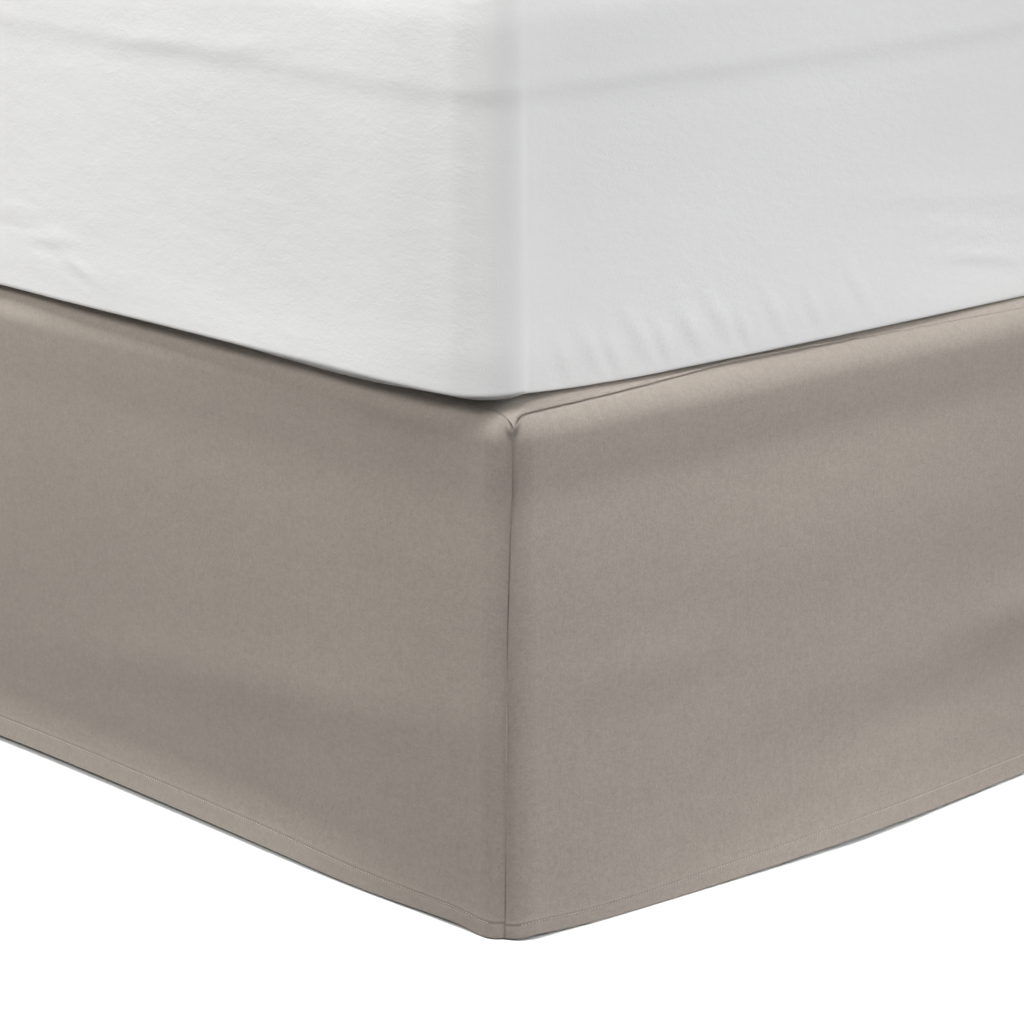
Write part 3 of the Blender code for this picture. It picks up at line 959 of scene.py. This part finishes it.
def make_stitch_nodes():
    """A tree that puts a stitch at every pitch along the edges of a line."""
    tree = bpy.data.node_groups.new("stitch_row", "GeometryNodeTree")
    face = tree.interface
    face.new_socket("Geometry", in_out="INPUT", socket_type="NodeSocketGeometry")
    for name in ("Pitch", "Length", "Radius"):
        face.new_socket(name, in_out="INPUT", socket_type="NodeSocketFloat")
    face.new_socket("Thread", in_out="INPUT", socket_type="NodeSocketMaterial")
    face.new_socket("Geometry", in_out="OUTPUT", socket_type="NodeSocketGeometry")
    nodes = {name: tree.nodes.new(kind) for name, kind in STITCH_NODES.items()}
    nodes["points"].mode = "LENGTH"
    nodes["half"].operation = "MULTIPLY"
    nodes["half"].inputs[1].default_value = 0.5
    nodes["turn"].axis = "Z"
    set_inputs(nodes["grain"], {"Segments": 5, "Rings": 4, "Radius": 1.0})
    for giver, output, taker, entry in STITCH_LINKS:
        tree.links.new(nodes[giver].outputs[output], nodes[taker].inputs[entry])
    return tree


thread = make_thread()
stitch_nodes = make_stitch_nodes()
print("stitch tree inputs:", [item.name for item in stitch_nodes.interface.items_tree])


# %% Rows of stitches
def node_inputs(modifier, values):
    """Sets a Geometry Nodes modifier's inputs by their sockets' identifiers."""
    for item in modifier.node_group.interface.items_tree:
        if item.in_out == "INPUT" and item.name in values:
            modifier[item.identifier] = values[item.name]


def make_stitches(name, line):
    """A row of stitches along a line of points, as one mesh."""
    mesh = bpy.data.meshes.new(name)
    edges = [(number, number + 1) for number in range(len(line) - 1)]
    mesh.from_pydata([tuple(point) for point in line], edges, [])
    made = link_object(name, mesh)
    row = made.modifiers.new("Stitches", "NODES")
    row.node_group = stitch_nodes
    values = {"Pitch": STITCH_PITCH, "Length": STITCH_LENGTH, "Radius": THREAD_RADIUS}
    node_inputs(row, {**values, "Thread": thread})
    apply_modifiers(made)
    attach(made, "root")
    return made


def hem_line(side):
    """The stitch line of a drop's bottom hem, on its face."""
    width = panel_width(side)
    span = HEM_REACH - SEAM_REACH
    from_slit = UNDERLAP + 0.012 if side == "foot" else 0.009
    across = np.linspace(from_slit, width - from_slit, round(width / 0.004))
    return drop_points(side, across, np.full(len(across), 1 - (HEM_DEPTH - STITCH_INSET) / span))


stitches = {side: make_stitches(f"{side}_hem_stitches", hem_line(side)) for side in PANELS}
for side, made in stitches.items():
    print(f"{made.name}: {len(made.data.polygons)} faces")


# %% [markdown]
# ## Mattress
#
# The mattress wears a white fitted sheet, drawn tight over its border. The border's tape makes a soft
# ridge through the sheet, and the pillow top above it swells out again. The sheet's elastic gathers at
# the bottom edge and pulls short slanting creases. The shape is a loft of round-cornered rings, with
# the creases laid on it as soft ridges.

# %% Mattress sizes
MATTRESS_WIDTH = 1.500
MATTRESS_LENGTH = 2.015
MATTRESS_RADIUS = 0.032
MATTRESS_SHIFT = (-0.003, -0.0115)
MATTRESS_RINGS = (
    # up, out
    (0.0000, -0.0040),
    (0.0004, -0.0003),
    (0.0014, 0.0002),
    (0.0040, 0.0004),
    (0.0090, 0.0005),
    (0.0180, 0.0006),
    (0.0500, 0.0002),
    (0.1100, -0.0004),
    (0.1700, -0.0006),
    (0.1900, -0.0007),
    (0.2000, -0.0003),
    (0.2090, -0.0004),
    (0.2240, -0.0006),
    (0.2480, -0.0014),
    (0.2680, -0.0042),
    (0.2860, -0.0130),
    (0.2980, -0.0350),
    (0.3030, -0.0800),
    (0.3050, -0.1700),
)
RING_STEPS = (
    # rows to fill each stretch between rings
    1, 1, 2, 2, 3, 7, 8, 7, 5, 4, 4, 4, 5, 4, 4, 4, 5, 6,
)
SIDE_LINES = (
    # along from the visible corner, to the left below 0 and to the right above it, and how far out
    (-2.700, 0.0000), (-1.500, 0.0000), (-0.900, 0.0030), (-0.700, -0.0020), (-0.540, -0.0040),
    (-0.456, 0.0000), (-0.382, 0.0020), (-0.287, 0.0048), (-0.177, 0.0070), (-0.092, 0.0093),
    (-0.056, 0.0070), (-0.026, 0.0050), (0.000, 0.0030), (0.039, -0.0020), (0.090, -0.0012),
    (0.160, 0.0018), (0.234, 0.0038), (0.306, 0.0040), (0.409, 0.0019), (0.515, -0.0024),
    (0.700, -0.0030), (1.000, 0.0010), (2.700, 0.0000),
)
EDGE_LIFTS = (
    # along, how far the sheet's lower edge is up off the deck
    (-2.700, 0.0000), (-0.900, 0.0010), (-0.540, 0.0008), (-0.350, 0.0022), (-0.100, 0.0036),
    (-0.030, 0.0042), (0.006, 0.0064), (0.024, 0.0042), (0.050, 0.0020), (0.100, 0.0004),
    (0.200, 0.0006), (0.320, 0.0008), (0.540, 0.0000), (2.700, 0.0000),
)
UNDER_EDGES = (
    # along, how far the underside lies back from the lower edge
    (-2.700, 0.0040), (-0.900, 0.0080), (-0.330, 0.0110), (-0.260, 0.0075), (-0.205, 0.0048),
    (-0.165, 0.0034), (-0.125, 0.0060), (-0.090, 0.0110), (0.000, 0.0150), (0.060, 0.0170),
    (0.120, 0.0120), (0.400, 0.0070), (2.700, 0.0040),
)
SHEET_CREASES = (
    # along from the corner, up, half_length, half_width, slant in degrees, out
    (0.060, 0.020, 0.016, 0.0040, -62, 0.00045),
    (0.082, 0.026, 0.018, 0.0040, -57, 0.00052),
    (0.104, 0.018, 0.014, 0.0036, -60, 0.00060),
    (0.124, 0.030, 0.020, 0.0042, -54, 0.00060),
    (0.148, 0.020, 0.014, 0.0036, -62, 0.00068),
    (0.172, 0.026, 0.018, 0.0040, -55, 0.00068),
    (0.196, 0.034, 0.022, 0.0045, -52, 0.00052),
    (0.222, 0.020, 0.014, 0.0036, -60, 0.00060),
    (0.250, 0.028, 0.020, 0.0042, -54, 0.00052),
    (0.290, 0.024, 0.016, 0.0040, -56, 0.00052),
    (0.335, 0.034, 0.022, 0.0048, -50, 0.00045),
    (0.435, 0.060, 0.034, 0.0042, -14, 0.00075),
    (0.400, 0.088, 0.045, 0.0052, -10, 0.00060),
    (0.475, 0.036, 0.036, 0.0044, -12, 0.00068),
    (0.500, 0.075, 0.040, 0.0050, -8, 0.00060),
    (-0.530, 0.058, 0.034, 0.0040, 4, 0.00068),
    (-0.490, 0.044, 0.026, 0.0038, 2, 0.00060),
    (-0.455, 0.028, 0.020, 0.0036, -16, 0.00052),
    (-0.346, 0.202, 0.050, 0.0070, 6, 0.00034),
    (-0.258, 0.206, 0.045, 0.0070, 8, 0.00026),
)
OTHER_CREASES = 110
FOOT_DRAW = 0.0030  # the sheet's elastic draws its lower edge out this far at the foot


# %% Rings of the mattress
def ring_profile():
    """Heights and offsets of the mattress's rows, on a smooth line through its rings."""
    table = np.array(MATTRESS_RINGS)
    gaps = np.hypot(*np.diff(table, axis=0).T)
    run = np.concatenate([[0], np.cumsum(gaps)])
    steps = [run[0]]
    for start, end, count in zip(run, run[1:], RING_STEPS):
        steps += list(np.linspace(start, end, count + 1)[1:])
    ups = follow(np.stack([run, table[:, 0]], axis=1), np.array(steps))
    outs = follow(np.stack([run, table[:, 1]], axis=1), np.array(steps))
    return ups, outs


def outline(half_x, half_y, radius, fine, coarse, reach):
    """A rounded rectangle from its corner at +X, -Y: points, ways out and distances both ways round."""
    core_x, core_y = half_x - radius, half_y - radius
    arc = radius * math.pi / 2
    sides = (
        # start of the stretch, its run, its way out, its length
        ((core_x + radius, -core_y), (0, 1), (1, 0), 2 * core_y),
        ((core_x, core_y + radius), (-1, 0), (0, 1), 2 * core_x),
        ((-core_x - radius, core_y), (0, -1), (-1, 0), 2 * core_y),
        ((-core_x, -core_y - radius), (1, 0), (0, -1), 2 * core_x),
    )
    points, ways, along = [], [], []
    travelled = arc / 2
    for number, (start, run, out, length) in enumerate(sides):
        near = 0.0 if number in (0, 3) else length
        if number == 0:
            steps = spread((0, reach, fine), (reach, length, coarse))
        elif number == 3:
            steps = spread((0, length - reach, coarse), (length - reach, length, fine))
        else:
            steps = spread((0, near, coarse))
        for step in steps[:-1]:
            points.append((start[0] + run[0] * step, start[1] + run[1] * step))
            ways.append(out)
            along.append(travelled + step)
        travelled += length
        corner = (start[0] + run[0] * length - out[0] * radius, start[1] + run[1] * length - out[1] * radius)
        count = round(arc / (fine if number == 3 else coarse * 0.8))
        for step in range(count):
            turn = math.pi / 2 * step / count
            way = (
                out[0] * math.cos(turn) + run[0] * math.sin(turn),
                out[1] * math.cos(turn) + run[1] * math.sin(turn),
            )
            points.append((corner[0] + way[0] * radius, corner[1] + way[1] * radius))
            ways.append(way)
            along.append(travelled + arc * step / count)
        travelled += arc
    along = np.array(along)
    along = np.where(along > travelled / 2, along - travelled, along)
    return np.array(points), np.array(ways), along, travelled


# %% Creases of the fitted sheet
def crease(along, up, row):
    """One soft ridge with a shallow trough beside it."""
    middle, level, half_length, half_width, slant, out = row
    turn = math.radians(slant)
    east, north = along - middle, up - level
    run = east * math.cos(turn) + north * math.sin(turn)
    off = north * math.cos(turn) - east * math.sin(turn)
    ridge = bell(off, half_width) - 0.6 * bell(off + half_width * 1.7, half_width * 1.2)
    return out * bell(run, half_length) * ridge


def sheet_relief(along, up, around):
    """All the relief of the fitted sheet, out from its smooth surface."""
    relief = sum(crease(along, up, row) for row in SHEET_CREASES)
    draw = np.random.default_rng(11)
    for number in range(OTHER_CREASES):
        middle = draw.uniform(0.62, around - 0.66)
        middle = middle if middle < around / 2 else middle - around
        low = number % 3 > 0
        level = draw.uniform(0.014, 0.05) if low else draw.uniform(0.05, 0.26)
        slant = draw.uniform(-65, -40) * (1 if draw.uniform() < 0.5 else -1) if low else draw.uniform(-14, 14)
        length = draw.uniform(0.014, 0.03) if low else draw.uniform(0.03, 0.07)
        row = (middle, level, length, 0.009 if low else 0.012, slant, draw.uniform(0.0004, 0.0009))
        relief = relief + crease(along, up, row)
    waves = np.sin(along * 9.1 + 0.6) * np.sin(up * 21 + 0.8) + 0.6 * np.sin(along * 17.3 + up * 13 + 2.1)
    relief = relief + 0.0004 * waves * blend(up / 0.03) * blend((0.29 - up) / 0.03)
    drawn_in = FOOT_DRAW * (1 - np.exp(-up / 0.04)) * blend(-along / 0.08)
    return relief + follow(SIDE_LINES, along) - drawn_in


# %% Mattress
def make_cotton(name, light, dark, weave_scale):
    """A plain cotton weave, with the faintest cloud of colour."""
    finish = {"Roughness": 0.85, "Sheen Weight": 0.1, "Sheen Roughness": 0.5}
    weave = ((weave_scale,) * 3, 2.0, 0.6)
    material, tree, shader, fine = make_grained(
        name, weave, ((5, 5, 7), 3.0), 0.5, dark, light, (0.00018, 0.6), finish
    )
    crumple = noise(tree, pattern_place(tree, "Object", (30, 30, 52)), 1.0, 4.0, 0.6)
    tree.links.new(bump(tree, crumple, 0.0016, 0.28, fine), shader.inputs["Normal"])
    return material


def loft(rings):
    """Faces of a stack of closed rings, with a face at both ends."""
    rows, columns = rings.shape[:2]
    faces = []
    for row in range(rows - 1):
        for number in range(columns):
            following = (number + 1) % columns
            low, high = row * columns, (row + 1) * columns
            faces.append((low + number, low + following, high + following, high + number))
    faces.append(tuple(reversed(range(columns))))
    faces.append(tuple((rows - 1) * columns + number for number in range(columns)))
    return faces


def rings_at(points, ways, half, ups, outs, relief, radius):
    """Rings of points: moved in and out near the outline, and shrunk towards the middle beyond that."""
    side = np.maximum(outs, -radius * 0.75)[:, None]
    offset = side + relief
    rings = np.empty((len(ups), len(points), 3))
    for axis in (0, 1):
        shrink = (half[axis] + outs[:, None]) / (half[axis] + side)
        rings[..., axis] = (points[None, :, axis] + ways[None, :, axis] * offset) * shrink
    rings[..., 2] = ups[:, None]
    return rings


def make_mattress(node, material):
    """The mattress in its sheet, lofted from the bottom up and closed at both faces."""
    half = MATTRESS_WIDTH / 2, MATTRESS_LENGTH / 2
    points, ways, along, around = outline(*half, MATTRESS_RADIUS, 0.0042, 0.012, 0.62)
    ups, outs = ring_profile()
    fade = blend((outs[:, None] + 0.030) / 0.02)
    relief = sheet_relief(along[None, :], ups[:, None], around) * fade
    relief[0] -= follow(UNDER_EDGES, along) + outs[0]
    rings = rings_at(points, ways, half, ups, outs, relief, MATTRESS_RADIUS)
    rings[1:, :, 2] += (follow(EDGE_LIFTS, along) * fade * blend(1 - ups[:, None] / 0.06))[1:]
    rings += np.array([MATTRESS_SHIFT[0], MATTRESS_SHIFT[1] + CENTRE_SHIFT, DECK_TOP + PIECE_GAP])
    made = make_mesh_object(node + "_in_sheet", rings.reshape(-1, 3), loft(rings), material)
    made.data.shade_smooth()
    made.data.set_sharp_from_angle(angle=math.radians(60))
    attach(made, "root")
    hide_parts(node)
    print(f"{made.name}: {len(made.data.polygons)} faces in {len(rings)} rings")
    return made


cotton = make_cotton("mattress_cover", (0.782, 0.784, 0.785), (0.730, 0.732, 0.733), 700.0)
mattress = make_mattress("mattress", cotton)

# %% [markdown]
# ## Base and legs
#
# The base only shows from the head of the bed, where no drop hangs, and from below. It is covered in
# plain ticking with a cord piped along its top and bottom edges. It stands on six turned legs.

# %% Base
BASE_INSET = 0.0065
BASE_HEIGHT = 0.190
BASE_TOP = DECK_TOP - 0.0016 - PIECE_GAP
BASE_BOTTOM = BASE_TOP - BASE_HEIGHT
BASE_RADIUS = 0.026
BASE_RINGS = (
    # up, out
    (0.0000, -0.0300), (0.0004, -0.0100), (0.0030, -0.0030), (0.0060, -0.0020), (0.0070, 0.0010),
    (0.0100, 0.0022), (0.0130, 0.0010), (0.0140, -0.0020), (0.0400, 0.0000), (0.0950, 0.0005),
    (0.1480, 0.0000), (0.1600, -0.0018), (0.1612, 0.0004), (0.1640, 0.0012), (0.1668, -0.0002),
    (0.1680, -0.0030), (0.1780, -0.0080), (0.1855, -0.0150), (0.1890, -0.0230), (0.1900, -0.0330),
)


TICKING = (
    # name, fine and coarse pattern, share of the fine one, dark, light, relief, finish
    "base_ticking",
    ((420, 420, 18), 2.0, 0.5),
    ((8, 8, 8), 3.0),
    0.6,
    (0.50, 0.48, 0.43),
    (0.70, 0.68, 0.62),
    (0.0003, 0.6),
    {"Roughness": 0.88, "Sheen Weight": 0.1},
)


def make_base(node, material):
    """The base's cover, lofted through its rings, piping and all."""
    half = SKIRT_WIDTH / 2 - BASE_INSET, SKIRT_LENGTH / 2 - BASE_INSET
    points, ways, _, _ = outline(*half, BASE_RADIUS, 0.02, 0.02, 0.4)
    ups, outs = np.array(BASE_RINGS).T
    rings = rings_at(points, ways, half, ups, outs, 0.0, BASE_RADIUS)
    rings += np.array([0, CENTRE_SHIFT, BASE_BOTTOM])
    made = make_mesh_object(node + "_cover", rings.reshape(-1, 3), loft(rings), material)
    made.data.shade_smooth()
    made.data.set_sharp_from_angle(angle=math.radians(70))
    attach(made, "root")
    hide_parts(node)
    print(f"{made.name}: {len(made.data.polygons)} faces")
    return made


base = make_base("base", make_grained(*TICKING)[0])

# %% Legs
LEG_PROFILE = (
    # share of the height, radius
    (0.000, 0.0190), (0.010, 0.0210), (0.045, 0.0222), (0.055, 0.0226), (0.500, 0.0268),
    (0.900, 0.0307), (0.915, 0.0300), (0.930, 0.0306), (0.985, 0.0309), (1.000, 0.0300),
)
LEG_FACES = 48
STAINED_WOOD = (
    # name, fine and coarse pattern, share of the fine one, dark, light, relief, finish
    "leg_wood",
    ((160, 160, 9), 4.0, 0.6),
    ((40, 40, 4), 2.0),
    0.6,
    (0.045, 0.026, 0.015),
    (0.135, 0.082, 0.050),
    (0.0003, 0.35),
    {"Roughness": 0.42, "Coat Weight": 0.25, "Coat Roughness": 0.25},
)


def make_leg(node, material):
    """A turned leg in the place of its solid."""
    low, high = (Vector(corner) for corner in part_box(node))
    middle, height = (low + high) / 2, high.z - low.z
    turns = np.arange(LEG_FACES) * 2 * math.pi / LEG_FACES
    rings = np.empty((len(LEG_PROFILE), LEG_FACES, 3))
    for ring, (share, radius) in zip(rings, LEG_PROFILE):
        ring[:, 0] = middle.x + radius * np.cos(turns)
        ring[:, 1] = middle.y + radius * np.sin(turns)
        ring[:, 2] = low.z + share * height
    made = make_mesh_object(node + "_turned", rings.reshape(-1, 3), loft(rings), material)
    made.data.shade_smooth()
    made.data.set_sharp_from_angle(angle=math.radians(35))
    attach(made, "root")
    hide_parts(node)
    return made


leg_wood = make_grained(*STAINED_WOOD)[0]
legs = [make_leg(name, leg_wood) for name in sorted(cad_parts) if name.startswith("leg_")]
print("legs:", len(legs))
